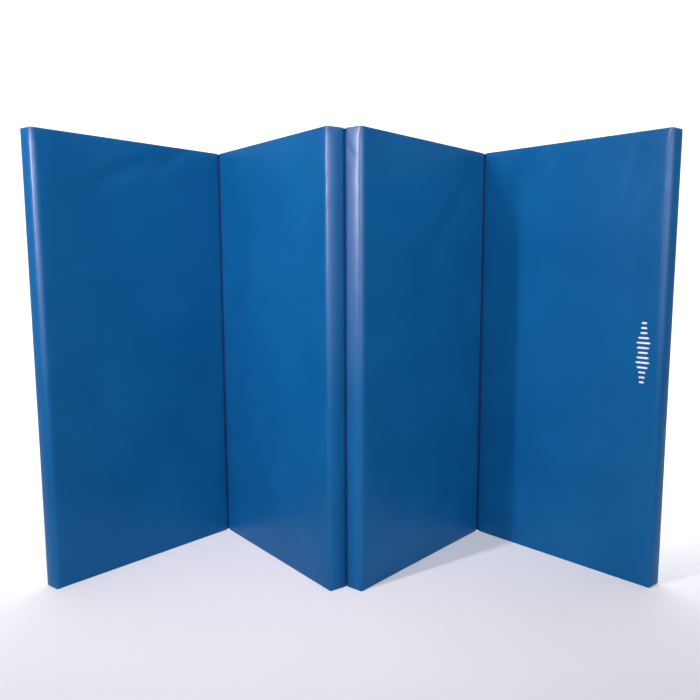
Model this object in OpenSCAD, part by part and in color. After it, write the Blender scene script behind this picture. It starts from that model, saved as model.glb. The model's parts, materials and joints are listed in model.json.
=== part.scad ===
// Folding gym mat: four foam panels in vinyl covers, joined by three sewn folds.
// The mat stands on edge in a zigzag. Folds 1 and 3 are hinged on the front, the middle one on the back.

/* [Mat] */
// Length of the mat laid out flat, over all four panels
open_length = 2440; // [2000:10:3000]
// Width of the mat, which is the height of a panel that stands on edge
panel_height = 1220; // [900:10:1500]
// Thickness of a panel over its cover
panel_thick = 50; // [46:1:60]

/* [Stance] */
// Angle between the fronts of panels 1 and 2
fold_1_angle = 75; // [60:1:110]
// Angle between the backs of panels 2 and 3
fold_2_angle = 75; // [60:1:110]
// Angle between the fronts of panels 3 and 4
fold_3_angle = 80; // [60:1:110]
// Turn of panel 1 away from the X axis
lead_angle = 50.5; // [45:0.5:60]

/* [Cover] */
// Thickness of the vinyl
vinyl = 0.8; // [0.6:0.1:1]
// Radius of the padded upright edges
edge_r = 12; // [8:1:14]
// Gap left in a cover's corner seam for the fold strip to come out
seam_gap = 1.6; // [1.6:0.1:2]

/* [Folds] */
// How far a fold's axis lies outside the panel face
axis_proud = 1.5; // [1.5:0.1:3]
// How far a fold's axis lies beyond the panel's end
axis_beyond = 3; // [3:0.1:5]
// Width of the strip that is sewn in behind the cover
strip_wing = 25; // [15:1:40]
// Distance that each half of the strip stops short of the axis
strip_stop = 1.1; // [1:0.1:1.3]
// Distance of the strip's ends from the panel's ends
strip_inset = 6; // [2:1:20]

/* [Zip] */
// Distance of the zip's centre from the hinged face
zip_centre = 22; // [20:0.5:23]
// Width of the opening in the cover
zip_slot = 10; // [10:0.5:12]
// Distance of the opening's ends from the panel's ends
zip_inset = 50; // [45:1:100]
// Width of the zip tape
tape_w = 30; // [24:1:30]
// Thickness of the zip tape
tape_thick = 0.6; // [0.4:0.1:1]
// Length of tape past each end of the opening
tape_past = 12; // [6:1:12]
// Width of the closed coil
coil_w = 7; // [5:0.5:7]
// Height of the coil above the tape
coil_high = 1.8; // [1.4:0.1:2]
// Length of a zip stop
stop_len = 6; // [4:0.5:8]
// Length of the slider
slider_len = 14; // [10:1:18]
// Width of the slider
slider_w = 9.4; // [9:0.1:9.6]
// Height of the slider's top above the coil
slider_over = 1; // [0.8:0.1:1.2]
// Running clearance between the slider and the coil
slider_clear = 0.2; // [0.15:0.05:0.3]

/* [Air vents] */
// Distance of a vent's centre from the panel's end
vent_inset = 26; // [20:1:28]
// Radius of the vent's opening
vent_r = 2.6; // [2:0.1:3]
// Radius of the eyelet's flange
flange_r = 5.5; // [5:0.1:6]
// Thickness of the eyelet's metal
vent_metal = 0.5; // [0.4:0.1:0.6]

/* [Hidden] */
$fn = 48;
PANELS = [1, 2, 3, 4];
FOLDS = [1, 2, 3];
PIECES = ["foam_core", "front_cover", "back_cover", "top_gusset", "bottom_gusset",
          "zip_tape", "zip_coil", "zip_stops", "zip_slider", "eyelets", "eyelet_washers"];

// A panel lies along X from 0 to panel_w, its front face on Y = 0. Panels 1 and 3 are drawn as they are.
// Panels 2 and 4 are their mirror image. The drawn panel's front hinge is at the far end of X,
// and its back hinge, diagonally opposite, is the same shape after half a turn.
panel_w = (open_length - 6 * axis_beyond) / 4;
inner_h = panel_height - 2 * vinyl;
clearance = 0.1;

// Heading of each panel in plan, from fold to fold
heading_1 = lead_angle;
heading_2 = heading_1 - (180 - fold_1_angle);
heading_3 = heading_2 + (180 - fold_2_angle);
heading_4 = heading_3 - (180 - fold_3_angle);
HEADING = [heading_1, heading_2, heading_3, heading_4];

// Axes in a panel's own plan, and the panels' corners found by walking out from the middle fold
function turned(a, p) = [p.x * cos(a) - p.y * sin(a), p.x * sin(a) + p.y * cos(a)];
left_front = [-axis_beyond, -axis_proud];
right_front = [panel_w + axis_beyond, -axis_proud];
left_back = [-axis_beyond, panel_thick + axis_proud];
right_back = [panel_w + axis_beyond, panel_thick + axis_proud];
corner_2 = -turned(heading_2, right_back);
corner_3 = -turned(heading_3, left_back);
corner_1 = corner_2 + turned(heading_2, left_front) - turned(heading_1, right_front);
corner_4 = corner_3 + turned(heading_3, right_front) - turned(heading_4, left_front);
CORNER = [corner_1, corner_2, corner_3, corner_4];

// The mat's box in plan, from the round and the square corners of every panel
function is_mirrored(p) = p % 2 == 0;
function upright_edges(p) = is_mirrored(p)
    ? [[0, 0, 0], [panel_w, panel_thick, 0],
       [panel_w - edge_r, edge_r, edge_r], [edge_r, panel_thick - edge_r, edge_r]]
    : [[panel_w, 0, 0], [0, panel_thick, 0],
       [edge_r, edge_r, edge_r], [panel_w - edge_r, panel_thick - edge_r, edge_r]];
EDGES = [for (p = PANELS) for (e = upright_edges(p))
    let (c = CORNER[p - 1] + turned(HEADING[p - 1], [e.x, e.y])) [c.x, c.y, e[2]]];
box_x = [min([for (e = EDGES) e.x - e[2]]), max([for (e = EDGES) e.x + e[2]])];
box_y = [min([for (e = EDGES) e.y - e[2]]), max([for (e = EDGES) e.y + e[2]])];
box_middle = [(box_x[0] + box_x[1]) / 2, (box_y[0] + box_y[1]) / 2];

// Puts a drawn panel where it stands in the mat
module in_place(p) {
    translate(CORNER[p - 1] - box_middle)
        rotate([0, 0, HEADING[p - 1]])
            if (is_mirrored(p)) translate([panel_w, 0, 0]) mirror([1, 0, 0]) children();
            else children();
}

// Half a turn about the panel's own upright middle line
module half_turn() {
    translate([panel_w, panel_thick, 0]) rotate([0, 0, 180]) children();
}

// ---- Plan shapes of one drawn panel ----

// The panel's outline, drawn in by a distance: two round corners and two square seam corners
module outline(inset) {
    flat_w = panel_w - edge_r - inset;
    flat_t = panel_thick - edge_r - inset;
    union() {
        translate([edge_r, inset]) square([flat_w, flat_t]);
        translate([inset, edge_r]) square([flat_w, flat_t]);
        translate([edge_r, edge_r]) circle(edge_r - inset);
        translate([panel_w - edge_r, panel_thick - edge_r]) circle(edge_r - inset);
    }
}

// One vinyl sheet: a face, the padded edge and an end, stopping short of the two seam corners
module wrap(face_short, end_short) {
    union() {
        translate([edge_r, 0]) square([panel_w - edge_r - face_short, vinyl]);
        translate([0, edge_r]) square([vinyl, panel_thick - edge_r - end_short]);
        intersection() {
            square(edge_r);
            difference() {
                translate([edge_r, edge_r]) circle(edge_r);
                translate([edge_r, edge_r]) circle(edge_r - vinyl);
            }
        }
    }
}

// Half a fold strip about its axis: a wing behind the cover and a neck through the corner seam.
// Here x runs into the panel along its face, y into its thickness.
neck_aim = [axis_beyond + 1.5 * vinyl, axis_proud + 1.5 * vinyl];
neck_angle = atan2(neck_aim.y, neck_aim.x);
wing_low = axis_proud + vinyl;
wing_high = wing_low + vinyl;
wing_end = axis_beyond + vinyl + strip_wing;
function neck_edge(y, side) =
    let (along = (y - side * cos(neck_angle)) / sin(neck_angle))
    [along * cos(neck_angle) - side * sin(neck_angle), y];
function neck_tip(side) = turned(neck_angle, [strip_stop, side]);

module strip_outline() {
    polygon([
        neck_tip(-vinyl / 2), neck_tip(vinyl / 2),
        neck_edge(wing_high, vinyl / 2), [wing_end, wing_high],
        [wing_end, wing_low], neck_edge(wing_low, -vinyl / 2)]);
}

// ---- Pieces of one drawn panel ----

has_back_hinge = [false, true, true, false];
tape_face = panel_w - vinyl;
tape_back = tape_face - tape_thick;
coil_face = tape_face + coil_high;
slot_bottom = zip_inset;
slot_top = panel_height - zip_inset;
coil_bottom = slot_bottom + stop_len;
coil_top = slot_top - stop_len;
VENTS = [vent_inset, panel_height - vent_inset];

// Seat for a strip's wing in the foam's front hinge corner, in plan
module strip_seat() {
    translate([tape_face - strip_wing, 0]) square([strip_wing + vinyl, 2 * vinyl]);
}

// Closed-cell foam block with shallow seats for the strips, the zip tape and the vents' washers
module foam_core(p) {
    washer_seat_r = flange_r + 2 * clearance;
    color("whitesmoke") in_place(p) difference() {
        translate([0, 0, vinyl]) linear_extrude(inner_h) difference() {
            outline(vinyl);
            strip_seat();
            if (has_back_hinge[p - 1]) half_turn() strip_seat();
        }
        translate([tape_back, zip_centre - tape_w / 2, slot_bottom - tape_past])
            cube([tape_thick + vinyl, tape_w, slot_top - slot_bottom + 2 * tape_past]);
        for (z = VENTS) vent_bar(z, tape_face - 3 * vent_metal, panel_w, washer_seat_r);
    }
}

// A round bar along X at a vent
module vent_bar(z, from, to, r) {
    translate([from, zip_centre, z]) rotate([0, 90, 0]) cylinder(h = to - from, r = r);
}

// Front sheet: the front face, the padded edge and the end away from the zip
module front_cover(p) {
    color([0.07, 0.33, 0.57]) in_place(p)
        translate([0, 0, vinyl]) linear_extrude(inner_h)
            wrap(seam_gap, has_back_hinge[p - 1] ? seam_gap : vinyl);
}

// Back sheet: the back face, the padded edge and the end that holds the zip and the vents
module back_cover(p) {
    color([0.06, 0.30, 0.53]) in_place(p) difference() {
        half_turn() translate([0, 0, vinyl]) linear_extrude(inner_h)
            wrap(has_back_hinge[p - 1] ? seam_gap : 0, seam_gap);
        translate([tape_face - vinyl, zip_centre - zip_slot / 2, slot_bottom])
            cube([3 * vinyl, zip_slot, slot_top - slot_bottom]);
        for (z = VENTS) vent_bar(z, tape_face - vinyl, panel_w + vinyl, vent_r + vent_metal + clearance);
    }
}

// Strip of vinyl sewn in as the panel's top or bottom end
module gusset(p, z) {
    color([0.06, 0.28, 0.50]) in_place(p) translate([0, 0, z]) linear_extrude(vinyl) outline(0);
}

module top_gusset(p) {
    gusset(p, panel_height - vinyl);
}

module bottom_gusset(p) {
    gusset(p, 0);
}

// Woven tape behind the opening
module zip_tape(p) {
    color([0.05, 0.13, 0.28]) in_place(p)
        translate([tape_back, zip_centre - tape_w / 2, slot_bottom - tape_past])
            cube([tape_thick, tape_w, slot_top - slot_bottom + 2 * tape_past]);
}

// The two closed rows of coil, as one rounded bar on the tape
module zip_coil(p) {
    round_r = coil_high / 2;
    color([0.08, 0.09, 0.12]) in_place(p)
        translate([tape_face, zip_centre, coil_bottom]) linear_extrude(coil_top - coil_bottom)
            union() {
                translate([0, -coil_w / 2]) square([round_r, coil_w]);
                translate([0, round_r - coil_w / 2]) square([coil_high, coil_w - coil_high]);
                for (side = [-1, 1])
                    translate([round_r, side * (coil_w / 2 - round_r)]) circle(round_r);
            }
}

// Metal stops at both ends of the coil
module zip_stops(p) {
    stop_w = coil_w + 1;
    color("silver") in_place(p)
        for (z = [slot_bottom, coil_top])
            translate([tape_face, zip_centre - stop_w / 2, z]) cube([coil_high + 0.2, stop_w, stop_len]);
}

// Slider: a channel that runs over the coil, drawn at the closed end of the zip
module zip_slider(p) {
    channel_w = coil_w + 2 * slider_clear;
    channel_high = coil_high + slider_clear;
    start = coil_bottom + clearance;
    color([0.12, 0.12, 0.13]) in_place(p)
        translate([tape_face, zip_centre, start]) difference() {
            translate([clearance, -slider_w / 2, 0])
                cube([coil_high + slider_over - clearance, slider_w, slider_len]);
            translate([0, -channel_w / 2, -1]) cube([channel_high, channel_w, slider_len + 2]);
        }
}

// Vent eyelets: a flange outside the cover and a barrel through it
module eyelets(p) {
    color("silver") in_place(p) for (z = VENTS) difference() {
        union() {
            vent_bar(z, panel_w, panel_w + vent_metal, flange_r);
            vent_bar(z, tape_face - vent_metal, panel_w, vent_r + vent_metal);
        }
        vent_bar(z, tape_face - 2 * vent_metal, panel_w + 2 * vent_metal, vent_r);
    }
}

// Washers clenched behind the cover
module eyelet_washers(p) {
    color("gainsboro") in_place(p) for (z = VENTS) difference() {
        vent_bar(z, tape_face - vent_metal, tape_face, flange_r);
        vent_bar(z, tape_face - 2 * vent_metal, panel_w, vent_r + vent_metal + clearance / 2);
    }
}

// Half of a fold strip, in the panel's front hinge corner
module front_strip() {
    translate([panel_w + axis_beyond, -axis_proud, strip_inset]) mirror([1, 0, 0])
        linear_extrude(panel_height - 2 * strip_inset) strip_outline();
}

// Folds 1 and 3 lie in the front hinge corners of their panels, fold 2 in the back ones
module fold_strip(f, side) {
    p = side == "left" ? f : f + 1;
    color([0.05, 0.24, 0.45]) in_place(p)
        if (f == 2) half_turn() front_strip();
        else front_strip();
}

for (p = PANELS) {
    foam_core(p);
    front_cover(p);
    back_cover(p);
    top_gusset(p);
    bottom_gusset(p);
    zip_tape(p);
    zip_coil(p);
    zip_stops(p);
    zip_slider(p);
    eyelets(p);
    eyelet_washers(p);
}
for (f = FOLDS) {
    for (side = ["left", "right"]) {
        fold_strip(f, side);
    }
}
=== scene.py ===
# %% [markdown]
# # A folding gym mat
# Four foam panels in blue vinyl covers, joined by three sewn folds, stand on edge in a zigzag. The CAD
# frame fixes every size, place and joint. This lesson makes what can be seen around it: covers pulled
# over foam, seams, zips, air vents, the webs that bend in the folds, and a printed mark.

# %% Load the frame
import json
import math

import bpy
import numpy as np
from mathutils import Matrix, Vector, noise
from mathutils.bvhtree import BVHTree


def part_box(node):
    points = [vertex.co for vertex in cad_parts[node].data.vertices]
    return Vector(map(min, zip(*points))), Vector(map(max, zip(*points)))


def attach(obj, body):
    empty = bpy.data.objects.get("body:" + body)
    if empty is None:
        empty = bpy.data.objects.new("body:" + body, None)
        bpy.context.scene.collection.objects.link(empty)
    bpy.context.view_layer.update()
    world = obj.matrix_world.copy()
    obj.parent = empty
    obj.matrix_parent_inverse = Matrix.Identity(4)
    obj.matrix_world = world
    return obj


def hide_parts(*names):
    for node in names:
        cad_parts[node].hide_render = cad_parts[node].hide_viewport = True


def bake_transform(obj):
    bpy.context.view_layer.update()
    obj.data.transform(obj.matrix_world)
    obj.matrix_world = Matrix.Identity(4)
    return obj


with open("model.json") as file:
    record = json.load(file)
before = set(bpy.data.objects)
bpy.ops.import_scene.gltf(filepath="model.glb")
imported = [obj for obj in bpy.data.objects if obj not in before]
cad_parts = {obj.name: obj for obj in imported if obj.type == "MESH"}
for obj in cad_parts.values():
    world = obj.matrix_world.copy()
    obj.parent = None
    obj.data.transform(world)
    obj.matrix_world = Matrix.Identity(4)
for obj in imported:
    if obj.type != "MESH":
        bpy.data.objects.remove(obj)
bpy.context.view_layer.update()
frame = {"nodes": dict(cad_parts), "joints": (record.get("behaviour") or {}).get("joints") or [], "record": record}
record = frame["record"]
MM = 0.001

# %% [markdown]
# ## The camera
# A studio shot of a mat is taken from a little over two metres away, at about the height of a worktop,
# tipped down. A lens near 39 mm keeps the perspective that makes the near edges taller than the
# far folds. The shift only slides the frame, so the uprights keep their lean.

# %% Camera
CAMERA_PLACE = (0.002, -2.212, 0.875)
CAMERA_TURN_RIGHT = math.radians(1.1)
CAMERA_TIP_DOWN = math.radians(7.9)
CAMERA_LENS = 39.0
CAMERA_SHIFT = (-0.026, 0.029)

camera = bpy.data.objects.new("camera", bpy.data.cameras.new("camera"))
bpy.context.scene.collection.objects.link(camera)
camera.location = CAMERA_PLACE
camera.rotation_euler = (math.pi / 2 - CAMERA_TIP_DOWN, 0, -CAMERA_TURN_RIGHT)
camera.data.lens = CAMERA_LENS
camera.data.shift_x, camera.data.shift_y = CAMERA_SHIFT
bpy.context.scene.camera = camera

# %% [markdown]
# ## A plain studio
# The floor and the wall behind are one white sheet that curves up, so that no line shows where they
# meet. One narrow upright lamp at the front left gives the edges their long highlights and lets each
# near edge throw a straight shadow. A wide soft panel in front and a pale sky fill the rest, and two
# lamps above keep the floor and the wall light.

# %% Studio
SWEEP_FRONT, SWEEP_BACK, SWEEP_SIDE = -7.0, 3.2, 9.0
SWEEP_R, SWEEP_TOP = 1.6, 7.0
SWEEP_STEPS = 16


def plain_material(name, colour, roughness):
    made = bpy.data.materials.new(name)
    made.use_nodes = True
    shader = made.node_tree.nodes["Principled BSDF"]
    shader.inputs["Base Color"].default_value = (*colour, 1)
    shader.inputs["Roughness"].default_value = roughness
    return made


def sweep_line():
    """The floor, the curve and the wall, as points (y, z)."""
    turn = [math.pi / 2 * i / SWEEP_STEPS for i in range(SWEEP_STEPS + 1)]
    bend = [(SWEEP_BACK + SWEEP_R * math.sin(a), SWEEP_R * (1 - math.cos(a))) for a in turn]
    return [(SWEEP_FRONT, 0), *bend, (SWEEP_BACK + SWEEP_R, SWEEP_TOP)]


def add_sweep():
    line = sweep_line()
    points = [(side * SWEEP_SIDE, y, z) for y, z in line for side in (-1, 1)]
    faces = [(2 * i, 2 * i + 1, 2 * i + 3, 2 * i + 2) for i in range(len(line) - 1)]
    mesh = bpy.data.meshes.new("studio_sweep")
    mesh.from_pydata(points, [], faces)
    mesh.polygons.foreach_set("use_smooth", [True] * len(faces))
    sweep = bpy.data.objects.new("studio_sweep", mesh)
    bpy.context.scene.collection.objects.link(sweep)
    mesh.materials.append(plain_material("studio_white", (0.80, 0.80, 0.81), 0.95))


def add_lamp(name, place, aim, size, power, colour, spread=180):
    lamp = bpy.data.lights.new(name, "AREA")
    lamp.shape = "RECTANGLE"
    lamp.size, lamp.size_y = size
    lamp.energy = power
    lamp.color = colour
    lamp.spread = math.radians(spread)
    made = bpy.data.objects.new(name, lamp)
    made.location = place
    made.rotation_euler = (Vector(aim) - Vector(place)).to_track_quat("-Z", "Y").to_euler()
    bpy.context.scene.collection.objects.link(made)


add_sweep()
add_lamp("key_lamp", (-1.62, -1.47, 1.75), (-0.3, -0.1, 0.95), (0.08, 1.1), 14.3, (1.0, 0.87, 0.92), 100)
add_lamp("front_panel", (0.45, -3.1, 3.3), (0.2, 0, 1.3), (2.2, 1.6), 28.5, (0.98, 0.97, 1.0), 64)
add_lamp("floor_lamp", (0, 1.2, 4.2), (0, 1.4, 0), (3.5, 2.0), 26, (1.0, 1.0, 1.0))
add_lamp("wall_lamp", (0, 1.3, 3.4), (0, 4.8, 1.0), (7.5, 1.0), 330, (1.0, 1.0, 1.0))
sky = bpy.data.worlds.new("studio_sky")
bpy.context.scene.world = sky
sky.use_nodes = True
sky.node_tree.nodes["Background"].inputs["Color"].default_value = (0.93, 0.93, 1.0, 1)
sky.node_tree.nodes["Background"].inputs["Strength"].default_value = 0.30
bpy.context.scene.view_settings.view_transform = "Standard"
print("studio ready")

# %% [markdown]
# ## Where each panel stands
# Every panel is the same object, drawn once in its own directions: x runs towards the fold on its
# front, y into its thickness, z up. Panels 2 and 4 are mirrored. The record's rest faces give a panel's
# middle and its back direction, and the fold on its front says which way x runs.

# %% Panel places
PANELS = (1, 2, 3, 4)
FRONT_FOLD = {1: "fold_1", 2: "fold_1", 3: "fold_3", 4: "fold_3"}
UP = Vector((0, 0, 1))
mounts = {m["name"]: m for m in record["mounts"]}
joints = {j["name"]: j for j in frame["joints"]}


def panel_axes(number):
    """The middle of a panel's foot, its own x direction and its own y direction."""
    middle = Vector(mounts[f"standing_edge_{number}"]["pos_m"])
    back = Vector(mounts[f"lying_face_{number}"]["axis"])
    along = back.cross(UP)
    fold = Vector(joints[FRONT_FOLD[number]]["pos_m"])
    return middle, along if (fold - middle).dot(along) > 0 else -along, back


def own_size(node, number):
    """A CAD node's size along its panel's own x and y."""
    _, along, back = panel_axes(number)
    corners = [v.co for v in frame["nodes"][node].data.vertices]
    sides = [[c.dot(way) for c in corners] for way in (along, back)]
    return [max(side) - min(side) for side in sides]


PANEL_W, PANEL_T = own_size("panel_1_bottom_gusset", 1)
PANEL_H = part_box("panel_1_top_gusset")[1].z


def panel_place(number):
    """Turns a drawn panel's own x, y and z into the row frame."""
    middle, along, back = panel_axes(number)
    start = middle - along * PANEL_W / 2 - back * PANEL_T / 2
    return Matrix((
        (along.x, back.x, 0, start.x),
        (along.y, back.y, 0, start.y),
        (0, 0, 1, 0),
        (0, 0, 0, 1)))


PLACE = {number: panel_place(number) for number in PANELS}
print(f"a panel is {PANEL_W:.4f} x {PANEL_H:.4f} x {PANEL_T:.4f} m")

# %% [markdown]
# ## Turning points into a piece
# A finished piece keeps its object at the origin and its place in its mesh. This helper takes points in
# a panel's own directions and puts them in the row frame. If the closed faces then enclose a negative
# volume, as on a mirrored panel, it turns them round, so that they always point outwards.

# %% Piece helper
def turns_inwards(points, faces):
    """Whether the closed faces enclose a negative volume."""
    total = 0.0
    for sides in {len(f) for f in faces}:
        group = np.array([f for f in faces if len(f) == sides], int)
        first = points[group[:, 0]]
        for i in range(1, sides - 1):
            across = np.cross(points[group[:, i]], points[group[:, i + 1]])
            total += np.einsum("ij,ij->i", first, across).sum()
    return total < 0


def ring_faces(rings, sides, closed=False):
    """Quads between rings of points, each to the next, and the last to the first where it is closed."""
    faces = []
    for r in range(rings if closed else rings - 1):
        here, above = r * sides, (r + 1) % rings * sides
        for i in range(sides):
            j = (i + 1) % sides
            faces.append((here + i, above + i, above + j, here + j))
    return faces


def turned_over(faces):
    """The same quads seen from their other side."""
    return [(a, d, c, b) for a, b, c, d in faces]


def new_piece(name, points, faces, material, place=None, smooth=True):
    grid = np.array(place or Matrix.Identity(4))
    world = np.asarray(points, float) @ grid[:3, :3].T + grid[:3, 3]
    faces = [tuple(int(i) for i in f) for f in faces]
    if turns_inwards(world, faces):
        faces = [tuple(reversed(f)) for f in faces]
    mesh = bpy.data.meshes.new(name)
    mesh.from_pydata(world.tolist(), [], faces)
    mesh.materials.append(material)
    mesh.polygons.foreach_set("use_smooth", [smooth] * len(mesh.polygons))
    mesh.update()
    piece = bpy.data.objects.new(name, mesh)
    bpy.context.scene.collection.objects.link(piece)
    return piece


def add_measure(piece, name, values):
    """A number on each point of a piece, for its material to read."""
    kept = piece.data.attributes.new(name, "FLOAT", "POINT")
    kept.data.foreach_set("value", np.asarray(values, np.float32))


# %% [markdown]
# ## Node wiring
# Each finish is a Principled shader fed by a few textures on Object coordinates. These short helpers
# add a node, join sockets and put a bump in front of the shader.

# %% Material helpers
def start_material(name):
    made = bpy.data.materials.new(name)
    made.use_nodes = True
    tree = made.node_tree
    place = tree.nodes.new("ShaderNodeTexCoord").outputs["Object"]
    return made, tree, tree.nodes["Principled BSDF"], place


def texture(tree, kind, place, **sizes):
    node = tree.nodes.new(kind)
    tree.links.new(place, node.inputs["Vector"])
    for name, value in sizes.items():
        node.inputs[name.replace("_", " ")].default_value = value
    return node


def blend_colours(tree, share, first, second):
    """A colour between two, by a share that a texture gives. A colour may also be a socket."""
    node = tree.nodes.new("ShaderNodeMix")
    node.data_type = "RGBA"
    tree.links.new(share, node.inputs["Factor"])
    for socket, value in ((node.inputs["A"], first), (node.inputs["B"], second)):
        if isinstance(value, bpy.types.NodeSocket):
            tree.links.new(value, socket)
        else:
            socket.default_value = (*value, 1)
    return node.outputs["Result"]


def stretch(tree, value, low, high, to_low, to_high):
    """Maps a texture's low and high values to new ones."""
    node = tree.nodes.new("ShaderNodeMapRange")
    tree.links.new(value, node.inputs["Value"])
    for name, number in (("From Min", low), ("From Max", high), ("To Min", to_low), ("To Max", to_high)):
        node.inputs[name].default_value = number
    return node.outputs["Result"]


def add_bump(tree, height, depth, below=None):
    """A bump of a real depth, in metres, on top of another bump."""
    node = tree.nodes.new("ShaderNodeBump")
    node.inputs["Distance"].default_value = depth
    tree.links.new(height, node.inputs["Height"])
    if below:
        tree.links.new(below, node.inputs["Normal"])
    return node.outputs["Normal"]


# %% [markdown]
# ## Coated vinyl
# The cover is PVC on a woven base: a satin skin with a fine pebble grain, a colour that drifts a little
# from roll to roll, and padded edges that hands have polished glossier. Those edges, and the middle ends
# that face the lamp, are also painted paler high up, as a painted sheen where the lamp's highlight falls.
# A Voronoi texture gives the pebbles, a slow noise the drift, and a measure on the mesh says where the
# gloss and the painted sheen are.

# %% Vinyl finish
SKIN_SPECULAR, COAT_DULLNESS, COAT_IOR = 0.09, 0.38, 1.8
# The share of painted sheen: how far the colour is mixed towards a paler lavender where the lamp's highlight
# falls.
SHEEN_MIX = 0.4


def vinyl_finish(name, deep, bright, sheen_colour, gloss, dullness):
    """A vinyl between two blues. Where the measure is high it takes a third, paler colour, a painted sheen, and a
    coat of some gloss.
    """
    made, tree, shader, place = start_material(name)
    drift = texture(tree, "ShaderNodeTexNoise", place, Scale=5.0, Detail=4.0)
    colour = blend_colours(tree, stretch(tree, drift.outputs["Fac"], 0.35, 0.65, 0, 1), deep, bright)
    # The measure paints a paler colour on as a painted sheen, and raises the coat's gloss.
    wear_and_sheen = tree.nodes.new("ShaderNodeAttribute")
    wear_and_sheen.attribute_name = "polish_and_sheen"
    scuff = texture(tree, "ShaderNodeTexNoise", place, Scale=45.0, Detail=5.0)
    colour = blend_colours(tree, stretch(tree, wear_and_sheen.outputs["Fac"], 0, 1, 0, SHEEN_MIX), colour, sheen_colour)
    tree.links.new(colour, shader.inputs["Base Color"])
    tree.links.new(stretch(tree, wear_and_sheen.outputs["Fac"], 0, 1, 0, gloss), shader.inputs["Coat Weight"])
    rough = stretch(tree, scuff.outputs["Fac"], 0.3, 0.7, dullness - 0.04, dullness + 0.05)
    tree.links.new(rough, shader.inputs["Roughness"])
    pebbles = texture(tree, "ShaderNodeTexVoronoi", place, Scale=1100.0)
    wrinkles = texture(tree, "ShaderNodeTexNoise", place, Scale=260.0, Detail=3.0)
    soft = add_bump(tree, wrinkles.outputs["Fac"], 0.00010)
    tree.links.new(add_bump(tree, pebbles.outputs["Distance"], 0.00006, soft), shader.inputs["Normal"])
    shader.inputs["Specular IOR Level"].default_value = SKIN_SPECULAR
    shader.inputs["Coat Roughness"].default_value = COAT_DULLNESS
    shader.inputs["Coat IOR"].default_value = COAT_IOR
    return made


# The first colour is a painted sheen: the paler lavender that the lamp's highlight gives polished edges. The
# second is painted shade, for the web in its pleat.
SHEEN_BLUE, WEB_SHADE_BLUE = (0.10, 0.14, 0.28), (0.01, 0.05, 0.16)
FACE_VINYL = vinyl_finish("face_vinyl", (0.003, 0.083, 0.235), (0.004, 0.095, 0.257), SHEEN_BLUE, 1.0, 0.36)
END_VINYL = vinyl_finish("end_vinyl", (0.003, 0.077, 0.225), (0.004, 0.087, 0.245), SHEEN_BLUE, 1.0, 0.38)
# Painted shade: the web is the same vinyl as the covers, painted much darker for the shade in its pleat.
SHADED_WEB_VINYL = vinyl_finish("shaded_web_vinyl", (0.002, 0.026, 0.10), (0.003, 0.032, 0.12), WEB_SHADE_BLUE, 0.0, 0.7)
print("vinyl finishes made")

# %% [markdown]
# ## The blank of one cover
# On the bench a cover is two L-shaped sheets and two narrow end strips, called gussets. The sheets meet
# at two seam corners, diagonally across from each other, and each wraps one padded edge. The blank is a
# grid of columns round the panel and rows up it, so that seams, zip opening and vents all fall on grid
# lines. An even grid also makes a good cloth for the simulation.

# %% Cover grid
EDGE_R = 12 * MM
SEAM_IN = 0.5 * MM
GRID_STEP = 13 * MM
ARC_STEPS = 6
FLAT_LEN = PANEL_W - EDGE_R
ARC_LEN = EDGE_R * math.pi / 2
SHEET_LEN = FLAT_LEN + ARC_LEN + PANEL_T - EDGE_R
ZIP_CENTRE = 22 * MM
ZIP_HALF = 5 * MM
ZIP_INSET = 50 * MM
VENT_INSET = 26 * MM


def between(stops, step):
    """Numbers from the first stop to the last, through every stop, no further apart than step."""
    line = [stops[0]]
    for low, high in zip(stops, stops[1:]):
        parts = max(1, math.ceil((high - low) / step - 1e-6))
        line += [low + (high - low) * (i + 1) / parts for i in range(parts)]
    return line


def sheet_point(way):
    """A sheet's plan point at a distance from its hinge corner, and the outward direction there."""
    if way <= FLAT_LEN:
        return (PANEL_W - way, 0), (0, -1)
    if way < FLAT_LEN + ARC_LEN:
        a = (way - FLAT_LEN) / EDGE_R
        return (EDGE_R * (1 - math.sin(a)), EDGE_R * (1 - math.cos(a))), (-math.sin(a), -math.cos(a))
    return (0, EDGE_R + way - FLAT_LEN - ARC_LEN), (-1, 0)


def sheet_ways():
    """The columns of one sheet, from its hinge corner to the far seam corner."""
    arc = [FLAT_LEN + ARC_LEN * i / ARC_STEPS for i in range(1, ARC_STEPS)]
    end = FLAT_LEN + ARC_LEN - EDGE_R
    zip_lines = [PANEL_T - ZIP_CENTRE - ZIP_HALF, PANEL_T - ZIP_CENTRE, PANEL_T - ZIP_CENTRE + ZIP_HALF]
    rise = [EDGE_R, 17.5 * MM, *zip_lines, 39 * MM, 44 * MM, 47.5 * MM, PANEL_T]
    face = between([0, 3 * MM, 8 * MM, 16 * MM, 26 * MM, FLAT_LEN], GRID_STEP)
    return face + arc + [end + y for y in rise]


def mat_rows():
    """The rows from the floor up, with lines at the vents and at the zip's ends."""
    foot = [0, 3.5 * MM, 9 * MM, 16 * MM, 23 * MM, 29 * MM, 36 * MM, 43 * MM, ZIP_INSET]
    return between([*foot, *[PANEL_H - z for z in reversed(foot)]], GRID_STEP)


WAYS = np.array(sheet_ways())
ROWS = np.array(mat_rows())
SHEET_COLS = len(WAYS) - 1
FACE_COLS = int(np.argmin(abs(WAYS - (FLAT_LEN + ARC_LEN / 2))))
END_COLS = SHEET_COLS - FACE_COLS
COLS = 2 * SHEET_COLS


def ring():
    """Plan points and outward directions of all columns, first the front sheet's, then the back's."""
    front = [sheet_point(way) for way in WAYS[:-1]]
    points = [p for p, _ in front] + [(PANEL_W - p[0], PANEL_T - p[1]) for p, _ in front]
    out = [n for _, n in front] + [(-n[0], -n[1]) for _, n in front]
    return np.array(points), np.array(out)


RING, RING_OUT = ring()
SEAM_COLS = (0, SHEET_COLS)
print(f"cover grid: {COLS} columns, {len(ROWS)} rows")

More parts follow.
